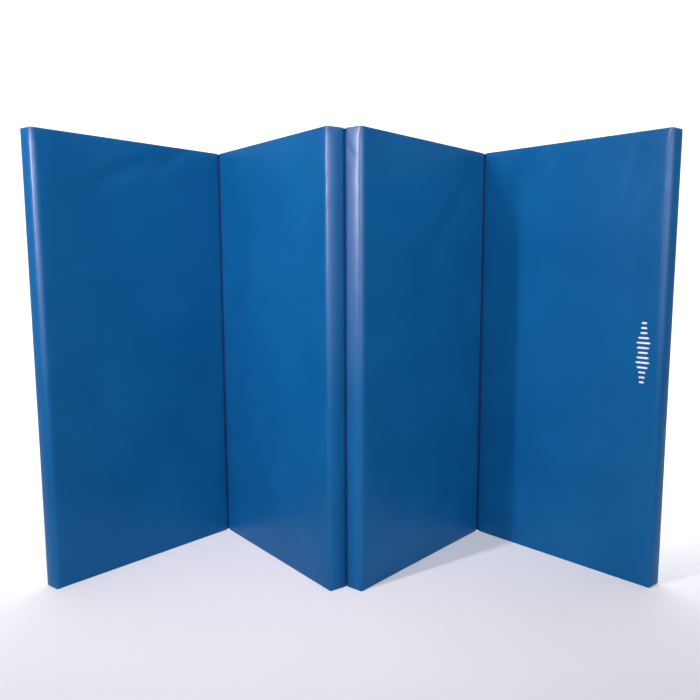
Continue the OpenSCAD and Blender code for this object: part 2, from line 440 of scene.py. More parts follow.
# %% [markdown]
# ## Faces of the blank
# The wall is a tube of quads. Each gusset is a patch stretched between the four sides of the ring, with
# its corners at the two seam corners and at the middles of the two padded edges. A number on each face
# says which sheet it belongs to, and one more number marks the zip's opening and the vents' holes.

# %% Cover faces
FRONT, BACK, TOP, BOTTOM, OPEN = range(5)


def wall_kind(r, c):
    if c < SHEET_COLS:
        return FRONT
    from_seam = WAYS[c - SHEET_COLS] - (FLAT_LEN + ARC_LEN - EDGE_R)
    across = PANEL_T - from_seam
    in_slot = ZIP_CENTRE - ZIP_HALF < across - MM and across - MM < ZIP_CENTRE + ZIP_HALF
    if in_slot and ZIP_INSET - MM < ROWS[r] < PANEL_H - ZIP_INSET - MM:
        return OPEN
    return BACK


def gusset_grid():
    """Ring columns on the edge of the gusset's patch: i runs away from the hinge end, j to the back."""
    grid = -np.ones((FACE_COLS + 1, END_COLS + 1), int)
    grid[:, 0] = np.arange(FACE_COLS + 1)
    grid[-1, :] = FACE_COLS + np.arange(END_COLS + 1)
    grid[:, -1] = SHEET_COLS + np.arange(FACE_COLS + 1)[::-1]
    grid[0, :] = (SHEET_COLS + FACE_COLS + np.arange(END_COLS + 1)[::-1]) % COLS
    return grid


def gusset_patch(edge_points, grid):
    """A patch between four edges: the middle of two straight blends, less the blend of the corners."""
    n, m = grid.shape
    u, v = np.linspace(0, 1, n)[:, None, None], np.linspace(0, 1, m)[None, :, None]
    at = edge_points[np.where(grid < 0, 0, grid)]
    lengthways = (1 - v) * at[:, :1] + v * at[:, -1:]
    crossways = (1 - u) * at[:1, :] + u * at[-1:, :]
    corners = (1 - u) * ((1 - v) * at[0, 0] + v * at[0, -1]) + u * ((1 - v) * at[-1, 0] + v * at[-1, -1])
    return lengthways + crossways - corners


def gusset_faces(first_row_vertex, first_new_vertex):
    """Quads of one gusset; its edge shares the wall's points, its inside has new ones."""
    grid = gusset_grid()
    inner = (FACE_COLS - 1) * (END_COLS - 1)
    numbers = grid + first_row_vertex
    numbers[1:-1, 1:-1] = first_new_vertex + np.arange(inner).reshape(FACE_COLS - 1, END_COLS - 1)
    cells = [(i, j) for i in range(FACE_COLS) for j in range(END_COLS)]
    return [(numbers[i, j], numbers[i + 1, j], numbers[i + 1, j + 1], numbers[i, j + 1]) for i, j in cells]


def cover_blank():
    """Faces and kinds of the closed blank. Wall points come first, then the bottom's, then the top's."""
    faces = ring_faces(len(ROWS), COLS)
    kinds = [wall_kind(r, c) for r in range(len(ROWS) - 1) for c in range(COLS)]
    wall, inner = len(ROWS) * COLS, (FACE_COLS - 1) * (END_COLS - 1)
    bottom = gusset_faces(0, wall)
    top = [tuple(reversed(f)) for f in gusset_faces((len(ROWS) - 1) * COLS, wall + inner)]
    return faces + bottom + top, kinds + [BOTTOM] * len(bottom) + [TOP] * len(top)


BLANK_FACES, BLANK_KINDS = cover_blank()
GUSSET_GRID = gusset_grid()
print(f"blank: {len(BLANK_FACES)} faces, {BLANK_KINDS.count(OPEN)} of them the zip's opening")

# %% [markdown]
# ## Where the cover lies before it is filled
# The seams are sewn fast, so they stay put a little inside the panel's corners. Everything else starts
# two millimetres slack, ready to be pushed out by the foam.

# %% Slack cover
SLACK = 2.0 * MM
SEAM_Z = 1.0 * MM
HOLD_ENDS, HOLD_FACES = 0.4, 0.1
EDGE_EASE, EDGE_EASE_WIDE = 1.4 * MM, 13 * MM
SQUARE_OUT, SQUARE_WIDE, SQUARE_RUN = 4.3 * MM, 5.2 * MM, 16 * MM
GUSSET_POINTS = 2 * (FACE_COLS - 1) * (END_COLS - 1)


def edge_ease(size, wide):
    """A drop that is deepest at the middle of the padded edges and fades to both sides."""
    one = size * np.exp(-(((WAYS[:-1] - FLAT_LEN - ARC_LEN / 2) / wide) ** 2))
    return np.concatenate([one, one])


def edge_shape():
    """The padded edges are softer than the blank halfway up, and squarer at the end seams."""
    near_end = np.exp(-np.minimum(ROWS, PANEL_H - ROWS) / SQUARE_RUN)[:, None]
    softer, squarer = edge_ease(EDGE_EASE, EDGE_EASE_WIDE), edge_ease(SQUARE_OUT, SQUARE_WIDE)
    return (1 - near_end) * softer - near_end * squarer


def wall_points(offset):
    """Wall points pushed outwards by offset[row, column], with the seams drawn in."""
    plan = RING[None] + offset[:, :, None] * RING_OUT[None]
    plan[:, 0] = (PANEL_W - SEAM_IN, SEAM_IN)
    plan[:, SHEET_COLS] = (SEAM_IN, PANEL_T - SEAM_IN)
    z = ROWS.copy()
    z[0], z[-1] = SEAM_Z, PANEL_H - SEAM_Z
    return np.dstack([plan, np.repeat(z[:, None], COLS, axis=1)])


def with_gussets(wall, bulge):
    """Adds the two gussets' inner points to the wall's, as flat patches bulged by bulge."""
    parts = [wall.reshape(-1, 3)]
    for row, way in ((0, -1), (-1, 1)):
        patch = gusset_patch(wall[row], GUSSET_GRID)[1:-1, 1:-1].copy()
        patch[:, :, 2] += way * bulge
        parts.append(patch.reshape(-1, 3))
    return np.vstack(parts)


def slack_points():
    offset = np.full((len(ROWS), COLS), -SLACK)
    offset[0] = offset[-1] = -0.8 * SLACK
    return with_gussets(wall_points(offset), 0)


def hold_groups():
    """Points by how fast they are held: the seams, then the padded edges and ends, then the faces."""
    wall = np.arange(len(ROWS) * COLS).reshape(len(ROWS), COLS)
    seams = sorted({*wall[:, list(SEAM_COLS)].ravel().tolist(), *wall[0].tolist(), *wall[-1].tolist()})
    past_face = np.tile(WAYS[:-1] > FLAT_LEN - ARC_LEN, 2)
    ends = wall[:, past_face].ravel().tolist() + list(range(wall.size, wall.size + GUSSET_POINTS))
    return {1.0: seams, HOLD_ENDS: sorted(set(ends) - set(seams)),
            HOLD_FACES: sorted(set(wall.ravel().tolist()) - set(ends) - set(seams))}


# %% [markdown]
# ## Filling the cover
# Blender's cloth gives the small gathers along sewn seams better than any formula. The blank is pinned
# at its seams and blown up for twenty frames with gravity off, with a cloth that is a touch larger than
# the panel, as a cover must be to go over its foam. Weak pins on the rest stand for the foam's grip. A
# slow noise ruffles the start of each panel in its own way. That start is the same in every run, but
# the gathers that come out of it differ by about a tenth of a millimetre from run to run.

# %% Cloth simulation
CLOTH_FRAMES = 20
CLOTH_PRESSURE = 4.0
CLOTH_SPARE = 0.008


def ruffled(points, number):
    """The start of the simulation, moved a few tenths of a millimetre by a slow noise."""
    shift = Vector((11.0 * number, 5.0, 3.0))
    moves = [noise.noise_vector(Vector(p) * 28 + shift) * 0.35 * MM for p in points]
    return points + np.array(moves)


def inflate(number):
    """The blank's points after the simulation."""
    start = ruffled(slack_points(), number)
    mesh = bpy.data.meshes.new("cloth_blank")
    mesh.from_pydata(start.tolist(), [], BLANK_FACES)
    blank = bpy.data.objects.new("cloth_blank", mesh)
    bpy.context.scene.collection.objects.link(blank)
    pins = blank.vertex_groups.new(name="held")
    for weight, group in hold_groups().items():
        pins.add(group, weight, "REPLACE")
    cloth = blank.modifiers.new("cloth", "CLOTH")
    setup = cloth.settings
    setup.use_pressure = True
    setup.uniform_pressure_force = CLOTH_PRESSURE
    setup.vertex_group_mass = "held"
    setup.effector_weights.gravity = 0
    setup.shrink_min = -CLOTH_SPARE
    setup.quality = 6
    setup.tension_stiffness = setup.compression_stiffness = 30
    setup.shear_stiffness = 15
    setup.bending_stiffness = 2
    cloth.collision_settings.use_collision = False
    cloth.point_cache.frame_start, cloth.point_cache.frame_end = 1, CLOTH_FRAMES
    scene = bpy.context.scene
    for step in range(1, CLOTH_FRAMES + 1):
        scene.frame_set(step)
    shown = blank.evaluated_get(bpy.context.evaluated_depsgraph_get()).data
    blown = np.empty(len(shown.vertices) * 3)
    shown.vertices.foreach_get("co", blown)
    scene.frame_set(1)
    bpy.data.objects.remove(blank)
    bpy.data.meshes.remove(mesh)
    return blown.reshape(-1, 3)


# %% [markdown]
# ## Foam stops the cloth
# The foam is firm and flat, so the real cover can't balloon as the free cloth does. Only the gathers
# and creases are kept: the slow part of the rise is taken away with a wide blur, and what is left is
# pressed down to under half a millimetre and laid on the panel's own crowned profile, which dips at
# the seams. Round the zip and the vents the cover is sewn and clenched flat.

# %% Pressing the cloth back
CROWN, END_CROWN = 0.7 * MM, 2.2 * MM
GUSSET_BULGE = 0.6 * MM
SEAM_DIP, SEAM_SINK = 6 * MM, 0.9 * MM
DETAIL_BLUR = 35 * MM
DETAIL_DEEP = 0.42 * MM
DETAIL_SOFT = 2.5 * MM
FACE_MOST, END_MOST, LEAST = 1.3 * MM, 4.5 * MM, 1.9 * MM
ROUND = np.concatenate([WAYS[:-1], SHEET_LEN + WAYS[:-1]])


def blur_shares(apart):
    shares = np.exp(-((apart / DETAIL_BLUR) ** 2))
    return shares / shares.sum(axis=1, keepdims=True)


def kept_detail(rise):
    """The gathers and creases of a rise, without its slow part, pressed to a small depth."""
    apart = abs(ROUND[:, None] - ROUND[None])
    apart = np.minimum(apart, 2 * SHEET_LEN - apart)
    slow = blur_shares(abs(ROWS[:, None] - ROWS[None])) @ rise @ blur_shares(apart).T
    return DETAIL_DEEP * np.tanh((rise - slow) / DETAIL_SOFT)


def seam_distance():
    """How far each wall point is from the nearest seam, along the cloth."""
    one = np.minimum(WAYS[:-1], SHEET_LEN - WAYS[:-1])
    across = np.concatenate([one, one])
    up = np.minimum(ROWS, PANEL_H - ROWS)
    return np.minimum(across[None], up[:, None])


def end_mask():
    """1 on the narrow ends, 0 on the wide faces, smooth over the padded edge."""
    one = np.clip((WAYS[:-1] - FLAT_LEN - ARC_LEN / 2) / (20 * MM), 0, 1)
    return np.concatenate([one, one])


def sewn_flat_mask():
    """1 where the zip tape and the vents hold the back sheet's end flat, else 0."""
    along = WAYS[:-1] - (FLAT_LEN + ARC_LEN - EDGE_R)
    near = np.clip((14 * MM - abs(PANEL_T - along - ZIP_CENTRE)) / (4 * MM), 0, 1)
    return np.concatenate([np.zeros(SHEET_COLS), near])


SEAM_DISTANCE = seam_distance()
END_MASK = end_mask()
FLAT_MASK = sewn_flat_mask()


def profile():
    """The cover's rise over the true panel: sunk at the seams, crowned on the faces and ends."""
    top = CROWN + (END_CROWN - CROWN) * END_MASK
    return top - (top + SEAM_SINK) * np.exp(-SEAM_DISTANCE / SEAM_DIP)


def cloth_detail(number):
    """The simulated gathers at every wall point."""
    blown = inflate(number)[: len(ROWS) * COLS].reshape(len(ROWS), COLS, 3)
    return kept_detail(((blown[:, :, :2] - RING[None]) * RING_OUT[None]).sum(axis=2))


# %% [markdown]
# ## Creases that the hands leave
# A cover that hangs from its top corners shows long shallow pulls running down from them, a ripple
# along each padded edge and small puckers at the end seams. Most are a few tenths of a millimetre to a
# millimetre deep, and a few named ones are deeper, so they show only as soft changes of light. Noise
# that is stretched along the pull gives each panel its own. At the end everything is eased to a limit.

# %% Creases
def slow_noise(a, b, seed):
    """A smooth noise of two numbers, from -1 to 1, different for each seed."""
    return noise.noise(Vector((a, b, 7.3 * seed + 0.5)))


def corner_pull(x, z, corner_x, corner_z, lean, seed):
    """A fan of shallow folds that run diagonally away from a top corner."""
    dx, dz = (x - corner_x) * lean, corner_z - z
    far = math.hypot(dx, dz)
    along, aside = (dx + dz * 0.8) / 1.28, (dz - dx * 0.8) / 1.28
    fade = math.exp(-((far / 0.30) ** 2)) * min(1, far / 0.05)
    return fade * slow_noise(aside * 26, along * 4.5, seed)


# Creases that catch the eye: panel, way along the front sheet from the hinge corner, height, half length,
# half width, tilt in degrees and depth
MARKS = [
    (1, 0.33, 1.145, 0.12, 0.024, -22, -3.4), (1, 0.20, 1.17, 0.07, 0.020, -35, -2.0),
    (3, 0.19, 1.03, 0.17, 0.030, -44, -3.6), (3, 0.09, 1.11, 0.09, 0.022, -30, -2.0),
    (3, 0.635, 1.163, 0.020, 0.007, 50, -2.2), (4, 0.50, 1.14, 0.06, 0.018, 75, -2.0),
    (4, 0.545, 1.05, 0.08, 0.016, 62, -1.5), (4, 0.56, 0.72, 0.07, 0.018, 80, -1.4),
    (2, 0.50, 1.12, 0.09, 0.022, 55, -2.2), (2, 0.12, 0.25, 0.12, 0.022, 40, -1.6)]


def mark_depth(number, way, z):
    """The named creases of a panel's front sheet at one point: soft grooves with a low lip."""
    deep = 0.0
    for panel, at, height, long, wide, tilt, depth in MARKS:
        if panel != number:
            continue
        turn = math.radians(tilt)
        along = (way - at) * math.cos(turn) + (z - height) * math.sin(turn)
        aside = (z - height) * math.cos(turn) - (way - at) * math.sin(turn) + 0.05 * along ** 2 / long
        deep += depth * MM * math.exp(-((along / long) ** 2) - (aside / wide) ** 2) * (1 - 0.5 * aside / wide)
    return deep


def crease(way, z, x, on_end, number):
    """The creases at one point of a sheet, in metres. x is the point's own x."""
    wide = slow_noise(x * 4.2, z * 3.4, number) * 0.55 * MM
    pulls = 0.0
    for side, corner_x in enumerate((0, PANEL_W)):
        lean = 1 if corner_x == 0 else -1
        pulls += corner_pull(x, z, corner_x, PANEL_H, lean, number + 10 * side)
    edge = math.exp(-(((way - FLAT_LEN - ARC_LEN / 2) / 0.016) ** 2))
    ripple = edge * (slow_noise(z * 17, 2.0, number + 3) * 0.55 + slow_noise(z * 46, 5.0, number) * 0.25) * MM
    end_gap = min(z, PANEL_H - z)
    pucker = math.exp(-end_gap / 0.011) * slow_noise(way * 75, z * 9, number + 6) * 0.4 * MM
    return wide * (1 - on_end) + pulls * 1.5 * MM * (1 - on_end) + ripple + pucker


def creases(number):
    """The creases at every wall point of a panel."""
    deep = np.zeros((len(ROWS), COLS))
    for c in range(COLS):
        way = WAYS[c % SHEET_COLS]
        for r, z in enumerate(ROWS):
            side = number + (20 if c >= SHEET_COLS else 0)
            deep[r, c] = crease(way, z, RING[c][0], END_MASK[c], side)
            if c < SHEET_COLS:
                deep[r, c] += mark_depth(number, way, z)
    return deep * np.clip(SEAM_DISTANCE / (6 * MM), 0.15, 1)


def eased(rise):
    """Limits high spots, so that shut faces stay apart, and low ones, so that no foam comes through."""
    most = FACE_MOST + (END_MOST - FACE_MOST) * END_MASK[None]
    return np.where(rise > 0, most * np.tanh(rise / most), LEAST * np.tanh(rise / LEAST))


def cover_points(number):
    """All points of a panel's finished cover, before it is subdivided."""
    rise = eased(profile() + cloth_detail(number) + creases(number))
    rise *= 1 - FLAT_MASK[None]
    rise[0] = rise[-1] = -SEAM_SINK
    rise -= edge_shape()
    return with_gussets(wall_points(rise), GUSSET_BULGE)


# %% [markdown]
# ## From one blank to four sheets
# Catmull-Clark subdivision smooths the blank while creased edges keep the seams and the zip's opening
# sharp. Then the faces are sorted by their number into a front sheet, a back sheet and two gussets, and
# each gets the vinyl's own thickness inwards, with a closed rim.

# %% Sheets from the blank
VINYL_THICK = 0.8 * MM
# How wide the band of gloss and painted sheen runs, and how it fades from high up to low down, as the lamp's
# highlight does.
POLISH_SHEEN_RUN, POLISH_SHEEN_END_RUN = 8 * MM, 4 * MM
POLISH_SHEEN_FROM, POLISH_SHEEN_RISE, POLISH_SHEEN_LEAST = 0.40, 0.62, 0.04


def seam_edge(kinds):
    return len(set(kinds)) > 1


def subdivided(points):
    """Points, quads and kinds of the blank after one subdivision with sharp seams."""
    mesh = bpy.data.meshes.new("cover_blank")
    mesh.from_pydata(points.tolist(), [], BLANK_FACES)
    for kind in range(5):
        mesh.materials.append(None)
    mesh.polygons.foreach_set("material_index", BLANK_KINDS)
    beside = {}
    for face, kind in zip(mesh.polygons, BLANK_KINDS):
        for key in face.edge_keys:
            beside.setdefault(key, []).append(kind)
    sharp = [1.0 if seam_edge(beside[e.key]) else 0.0 for e in mesh.edges]
    mesh.attributes.new("crease_edge", "FLOAT", "EDGE").data.foreach_set("value", sharp)
    holder = bpy.data.objects.new("cover_blank", mesh)
    bpy.context.scene.collection.objects.link(holder)
    smooth = holder.modifiers.new("smooth", "SUBSURF")
    smooth.levels = smooth.render_levels = 1
    shown = holder.evaluated_get(bpy.context.evaluated_depsgraph_get()).data
    co = np.empty(len(shown.vertices) * 3)
    shown.vertices.foreach_get("co", co)
    corners = np.empty(len(shown.loops), int)
    shown.loops.foreach_get("vertex_index", corners)
    kinds = np.empty(len(shown.polygons), int)
    shown.polygons.foreach_get("material_index", kinds)
    bpy.data.objects.remove(holder)
    bpy.data.meshes.remove(mesh)
    return co.reshape(-1, 3), corners.reshape(-1, 4), kinds


def point_normals(points, quads):
    a, b, c, d = (points[quads[:, i]] for i in range(4))
    flat = np.cross(c - a, d - b)
    normals = np.zeros_like(points)
    for i in range(4):
        np.add.at(normals, quads[:, i], flat)
    return normals / np.maximum(np.linalg.norm(normals, axis=1, keepdims=True), 1e-12)


def thickened(points, quads, thick):
    """A closed sheet: the outer face, the inner face and a rim round every opening."""
    n = len(points)
    inner = points - point_normals(points, quads) * thick
    edges = np.vstack([quads[:, [i, (i + 1) % 4]] for i in range(4)])
    _, first, uses = np.unique(np.sort(edges, axis=1), axis=0, return_index=True, return_counts=True)
    rim = edges[first[uses == 1]]
    sides = np.column_stack([rim[:, 1], rim[:, 0], rim[:, 0] + n, rim[:, 1] + n])
    return np.vstack([points, inner]), np.vstack([quads, quads[:, ::-1] + n, sides])


def one_sheet(points, quads, kinds, kind):
    """The points and quads of one kind only."""
    mine = quads[kinds == kind]
    used, again = np.unique(mine, return_inverse=True)
    return points[used], again.reshape(-1, 4)


# How much gloss and painted sheen each panel gets: its padded edge, the narrow end beside it, and how far along.
# Panel 3's end, which faces the lamp, gets the most painted sheen of the ends.
POLISH_AND_SHEEN = {1: (1.0, 0.0, 1), 2: (0.9, 0.7, 16 * MM), 3: (1.0, 0.9, 1), 4: (0.8, 0.0, 1)}


def polish_and_sheen_of(points, number):
    """Where the cover is glossier from polishing and painted paler as a sheen: on the padded edges and the middle
    ends, and high up, where the lamp's highlight falls.
    """
    x, y, z = points.T
    on_edge, on_end, end_run = POLISH_AND_SHEEN[number]
    x, y = np.where(x > PANEL_W / 2, PANEL_W - x, x), np.where(x > PANEL_W / 2, PANEL_T - y, y)
    turn = np.arctan2(np.clip(EDGE_R - y, 0, None), np.clip(EDGE_R - x, 1e-6, None))
    past_x, past_y = np.clip(x - EDGE_R, 0, None), np.clip(y - EDGE_R, 0, None)
    edge = on_edge * np.exp(-(((EDGE_R * abs(turn - math.pi / 4) + past_x + past_y) / POLISH_SHEEN_RUN) ** 2))
    end = on_end * np.exp(-np.clip(x, 0, None) / POLISH_SHEEN_END_RUN - past_y / end_run)
    high = np.clip((z - POLISH_SHEEN_FROM) / POLISH_SHEEN_RISE, 0, 1)
    # The table lists the size each sheet was cut to. The foam core is under all of them: a plain block with
    # rounded edges, never seen, but there when the mat is taken apart.
    high = high * high * (3 - 2 * high)
    return np.clip(np.maximum(edge, end) * (POLISH_SHEEN_LEAST + (1 - POLISH_SHEEN_LEAST) * high), 0, 1)


# %% [markdown]
# ## The covers
# Each sheet is declared with the size it was cut to. The foam core is under all of them: a plain block
# with rounded edges, never seen, but there when the mat is taken apart.

# %% Build the covers
VENT_CUT_R = 2.6 * MM
VENT_HEIGHTS = (VENT_INSET, PANEL_H - VENT_INSET)


def without_vents(points, quads):
    """The back sheet with a small hole at each vent, under the eyelet."""
    middle = points[quads].mean(axis=1)
    keep = np.ones(len(quads), bool)
    for z in VENT_HEIGHTS:
        keep &= np.linalg.norm(middle - (PANEL_W, ZIP_CENTRE, z), axis=1) > VENT_CUT_R
    used, again = np.unique(quads[keep], return_inverse=True)
    return points[used], again.reshape(-1, 4)


SHEETS = {
    FRONT: ("front_sheet", "front_cover", FACE_VINYL, "cover_vinyl", (SHEET_LEN, PANEL_H)),
    BACK: ("back_sheet", "back_cover", FACE_VINYL, "cover_vinyl", (SHEET_LEN, PANEL_H)),
    TOP: ("top_end_strip", "top_gusset", END_VINYL, "gusset_vinyl", (PANEL_W, PANEL_T)),
    BOTTOM: ("bottom_end_strip", "bottom_gusset", END_VINYL, "gusset_vinyl", (PANEL_W, PANEL_T)),
}


def add_cover(number):
    """The four sheets of a panel, and the outer faces of its front and back sheets for later steps."""
    points, quads, kinds = subdivided(cover_points(number))
    outside = {}
    for kind, (word, node, finish, slot, flat) in SHEETS.items():
        outer, faces = one_sheet(points, quads, kinds, kind)
        if kind == BACK:
            outer, faces = without_vents(outer, faces)
        outside[kind] = BVHTree.FromPolygons(outer.tolist(), faces.tolist())
        solid, sides = thickened(outer, faces, VINYL_THICK)
        sheet = new_piece(f"panel_{number}_{word}", solid, sides, finish, PLACE[number])
        # The measure on each sheet gives gloss from polishing and a painted sheen.
        add_measure(sheet, "polish_and_sheen", polish_and_sheen_of(solid, number))
        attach(sheet, f"panel_{number}")
        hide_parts(f"panel_{number}_{node}")
    return outside


outsides = {number: add_cover(number) for number in PANELS}
print("covers made for panels", list(outsides))

# %% [markdown]
# ## Foam cores
# Inside each cover is one block of closed-cell foam, cut with rounded edges so that it doesn't wear
# through the vinyl. It gives the panel its firm flat faces. Rings of the panel's outline, drawn in at
# the ends, make the block; it stays three millimetres inside, clear of the zip tape and the webs.

# %% Foam
FOAM_IN = 3 * MM
FOAM_ROUND = 2.5 * MM


def foam_finish():
    made, tree, shader, place = start_material("foam")
    cells = texture(tree, "ShaderNodeTexVoronoi", place, Scale=900.0)
    tree.links.new(add_bump(tree, cells.outputs["Distance"], 0.0003), shader.inputs["Normal"])
    shade = texture(tree, "ShaderNodeTexNoise", place, Scale=30.0, Detail=3.0)
    colour = blend_colours(tree, shade.outputs["Fac"], (0.50, 0.50, 0.48), (0.62, 0.62, 0.60))
    tree.links.new(colour, shader.inputs["Base Color"])
    shader.inputs["Roughness"].default_value = 0.9
    return made


FOAM = foam_finish()


def foam_ring(inset, z):
    """The panel's outline, drawn in, with the seam corners eased by the same amount."""
    plan = RING - (inset + edge_ease(EDGE_EASE, EDGE_EASE_WIDE)[:, None]) * RING_OUT
    for column, (x, y) in ((0, (PANEL_W, 0)), (SHEET_COLS, (0, PANEL_T))):
        towards = np.array((PANEL_W / 2 - x, PANEL_T / 2 - y))
        plan[column] = (x, y) + inset * 1.15 * np.sign(towards)
    return np.column_stack([plan, np.full(COLS, z)])


def add_foam(number):
    turn = [math.pi / 2 * i / 4 for i in range(5)]
    low = [(FOAM_IN + FOAM_ROUND * (1 - math.sin(a)), FOAM_IN + FOAM_ROUND * (1 - math.cos(a))) for a in turn]
    middle = np.linspace(low[-1][1], PANEL_H - low[-1][1], 25)[1:-1]
    levels = low + [(FOAM_IN, z) for z in middle] + [(inset, PANEL_H - z) for inset, z in reversed(low)]
    points = np.vstack([foam_ring(inset, z) for inset, z in levels])
    caps = [tuple(range(COLS)), tuple(reversed(range((len(levels) - 1) * COLS, len(levels) * COLS)))]
    faces = ring_faces(len(levels), COLS) + caps
    block = new_piece(f"panel_{number}_foam", points, faces, FOAM, PLACE[number])
    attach(block, f"panel_{number}")
    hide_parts(f"panel_{number}_foam_core")


for number in PANELS:
    add_foam(number)
print("foam cores made")

# %% [markdown]
# ## Fold webs
# Each fold is one strip of vinyl. Its wings are sewn in behind both covers and the middle comes out
# through the corner seams, where it tucks back into a small pleat. The pleat lies in real shade, and the
# web is also painted much darker than the covers, as painted shade. It waves a little along its height,
# as sewn strips do.

# %% Fold webs
FOLDS = {1: (1, 2, False), 2: (2, 3, True), 3: (3, 4, False)}
WEB_THICK = 0.7 * MM
WEB_INSET = 3 * MM
WING = [(25.8, 2.3), (18, 2.3), (10, 2.3), (5, 2.25), (3, 2.0), (1.7, 1.5), (1.1, 1.1), (0.5, 0.75),
        (-0.3, 0.6)]
WEB_ROW = 12 * MM
WEB_PLEAT = {1: 3.5 * MM, 2: 2.6 * MM, 3: 3.5 * MM}


def hinge_plan(number, on_back, inwards, deep):
    """A point by a panel's hinge corner: how far in from the end, and how deep below the face."""
    if on_back:
        return PLACE[number] @ Vector((inwards, PANEL_T - deep, 0))
    return PLACE[number] @ Vector((PANEL_W - inwards, deep, 0))


def web_line(fold):
    """The web's middle line in plan, from one wing's edge through the pleat to the other's."""
    left, right, on_back = FOLDS[fold]
    sides = [[hinge_plan(p, on_back, u * MM, v * MM) for u, v in WING] for p in (left, right)]
    middle = (sides[0][-1] + sides[1][-1]) / 2 + Vector((0, WEB_PLEAT[fold], 0))
    flanks = [(side[-1] + middle * 2) / 3 + Vector((0, WEB_PLEAT[fold] / 8, 0)) for side in sides]
    return np.array([(p.x, p.y) for p in sides[0] + [flanks[0], middle, flanks[1]] + sides[1][::-1]])


def line_normals(line):
    step = np.gradient(line, axis=0)
    step /= np.linalg.norm(step, axis=1, keepdims=True)
    return np.column_stack([-step[:, 1], step[:, 0]])


def web_points(fold, line, rows):
    """Both faces of the web: grid[side, row, column]."""
    sideways = line_normals(line)
    middle = len(line) // 2
    loose = np.exp(-((np.arange(len(line)) - middle) / 1.2) ** 2)
    grid = np.zeros((2, len(rows), len(line), 3))
    for r, z in enumerate(rows):
        wave = 0.35 * MM * slow_noise(z * 22, 1.0, fold + 40) * loose
        for side in (0, 1):
            shift = wave + (WEB_THICK / 2 if side == 0 else -WEB_THICK / 2)
            grid[side, r, :, :2] = line + sideways * shift[:, None]
            grid[side, r, :, 2] = z
    return grid


def web_faces(rows, columns):
    """Quads of a closed strip with the given number of rows and columns of points."""
    def at(side, r, c):
        return (side * rows + r) * columns + c

    faces = []
    for r in range(rows - 1):
        for c in range(columns - 1):
            faces.append((at(0, r, c), at(0, r, c + 1), at(0, r + 1, c + 1), at(0, r + 1, c)))
            faces.append((at(1, r, c), at(1, r + 1, c), at(1, r + 1, c + 1), at(1, r, c + 1)))
        for c, turn in ((0, 1), (columns - 1, -1)):
            faces.append((at(0, r, c), at(0, r + 1, c), at(1, r + 1, c), at(1, r, c))[::turn])
    for c in range(columns - 1):
        for r, turn in ((0, -1), (rows - 1, 1)):
            faces.append((at(0, r, c), at(0, r, c + 1), at(1, r, c + 1), at(1, r, c))[::-turn])
    return faces


def add_web(fold):
    rows = between([WEB_INSET, PANEL_H - WEB_INSET], WEB_ROW)
    line = web_line(fold)
    grid = web_points(fold, line, rows)
    web = new_piece(f"fold_{fold}_web", grid.reshape(-1, 3), web_faces(len(rows), len(line)), SHADED_WEB_VINYL)
    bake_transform(web)
    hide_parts(f"fold_{fold}_strip_left", f"fold_{fold}_strip_right")
    width = float(np.linalg.norm(np.diff(line, axis=0), axis=1).sum())
    return width


print("web widths", [round(add_web(fold), 4) for fold in FOLDS])

# %% [markdown]
# ## Rows of small things
# Stitches and zip teeth repeat thousands of times. A Geometry Nodes tree walks along a line, puts a
# small thing at even steps, stands it up along the line's own outward direction, turns it a little by a
# seeded random amount and gives it a finish. Afterwards the row is plain mesh.

# %% Row tree
ROW_INPUTS = {"Line": "Geometry", "Thing": "Object", "Spacing": "Float", "Wobble": "Float", "Seed": "Int",
              "Finish": "Material"}


